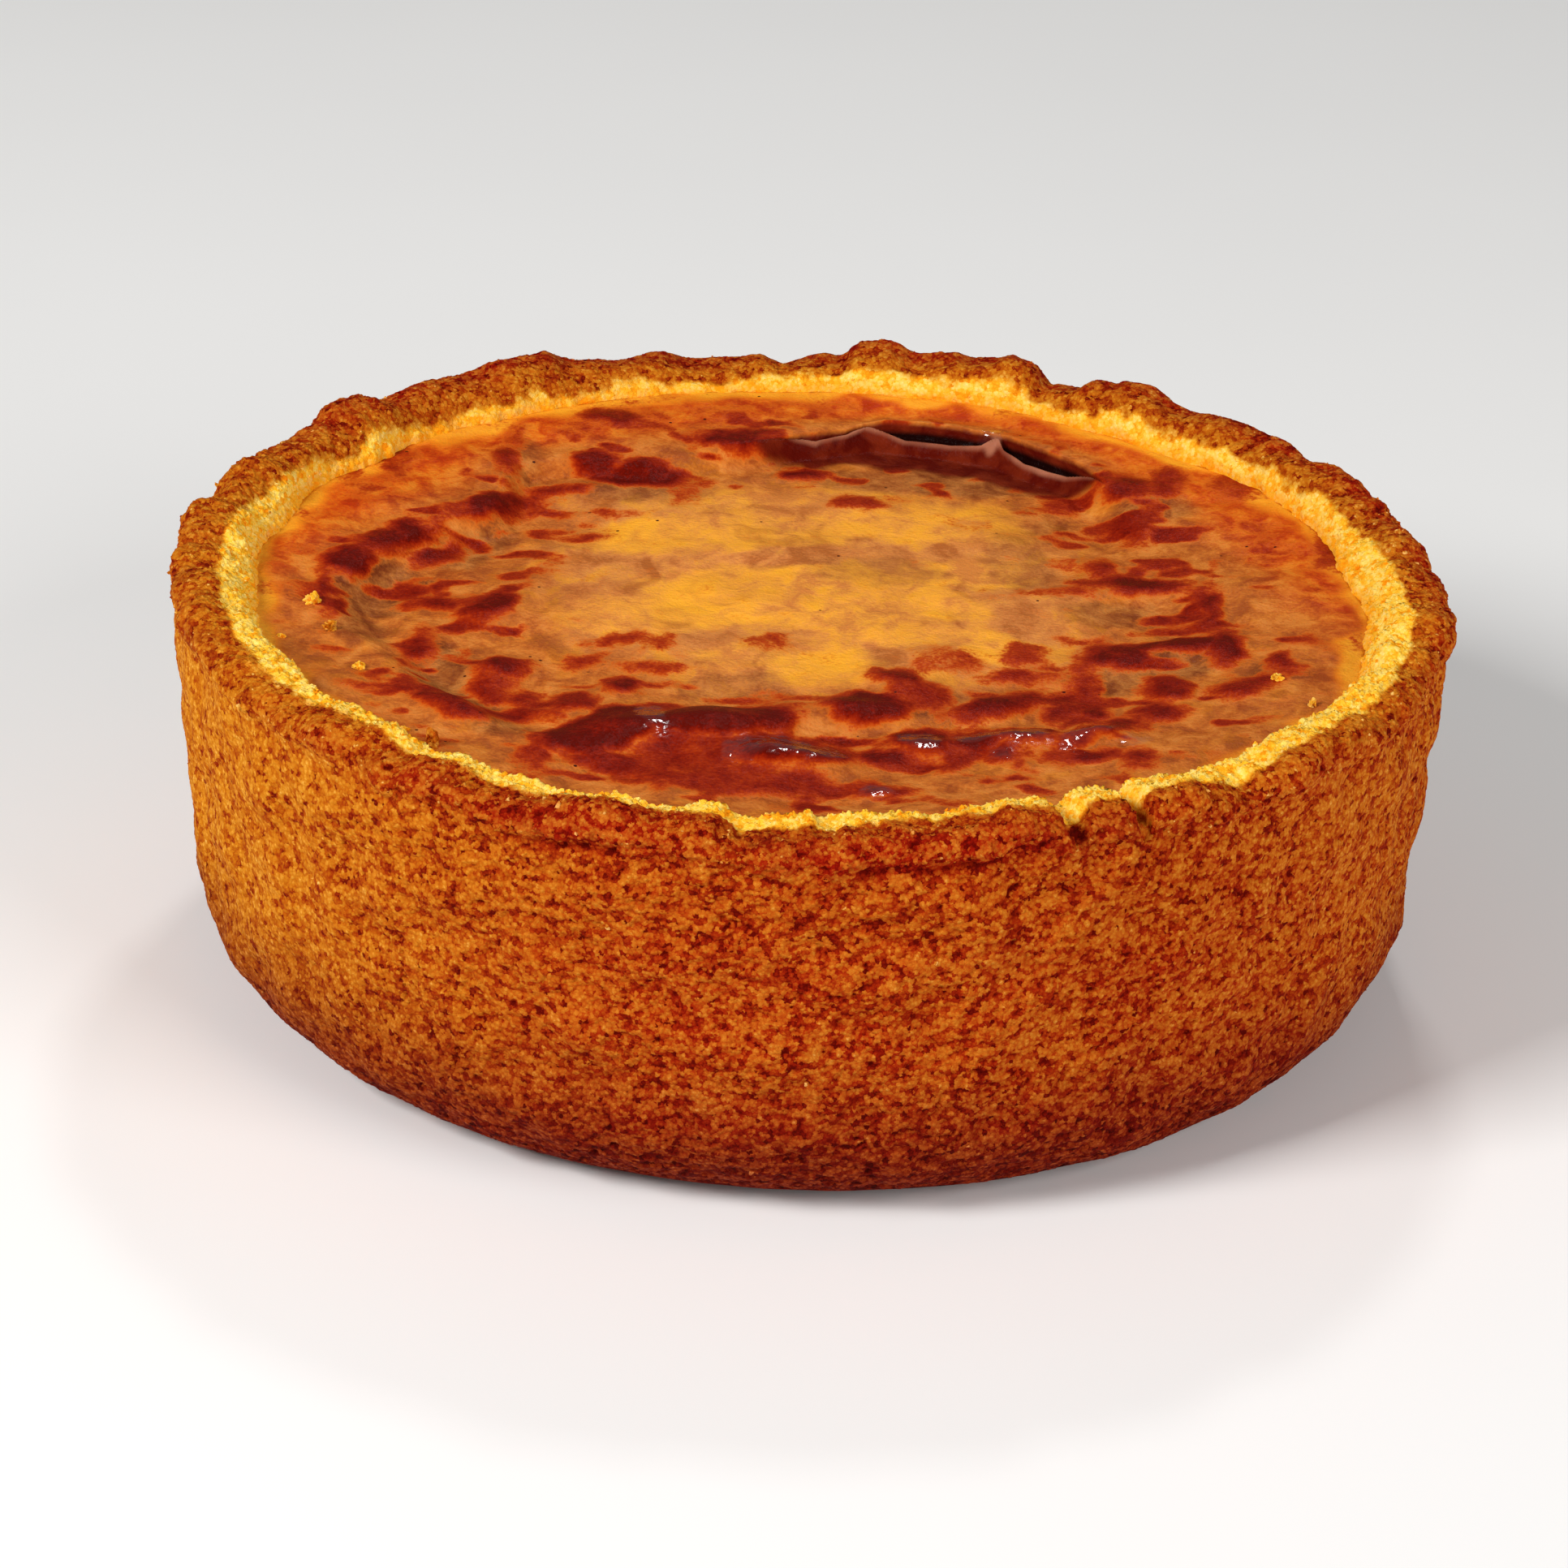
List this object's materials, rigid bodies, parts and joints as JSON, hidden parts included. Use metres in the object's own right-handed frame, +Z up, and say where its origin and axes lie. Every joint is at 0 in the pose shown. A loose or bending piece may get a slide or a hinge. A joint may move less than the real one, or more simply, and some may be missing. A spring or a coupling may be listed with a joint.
{
  "type": "parisian flan",
  "caption": "Small round baked flan: a deep crumbly shortcrust case with a rough brown rim, filled with set custard whose sunken, folded skin is browned in patches.",
  "frame": {"origin": "centre of the flat base, on the surface that the flan stands on", "axes": "+Z up, out of the custard; +X to the right and -Y towards the viewer of the picture"},
  "size_m": [0.1002, 0.1004, 0.0342],
  "materials": {
    "crust": "baked golden-brown shortcrust, rough and crumbly, darker at the rim and the foot, pale yellow along the rim's inner edge",
    "custard": "baked custard skin, orange-gold and satin, with glossy red-brown scorched patches and a paler middle"
  },
  "bodies": {
    "root": {"crust": "crust", "custard": "custard"}
  },
  "joints": []
}
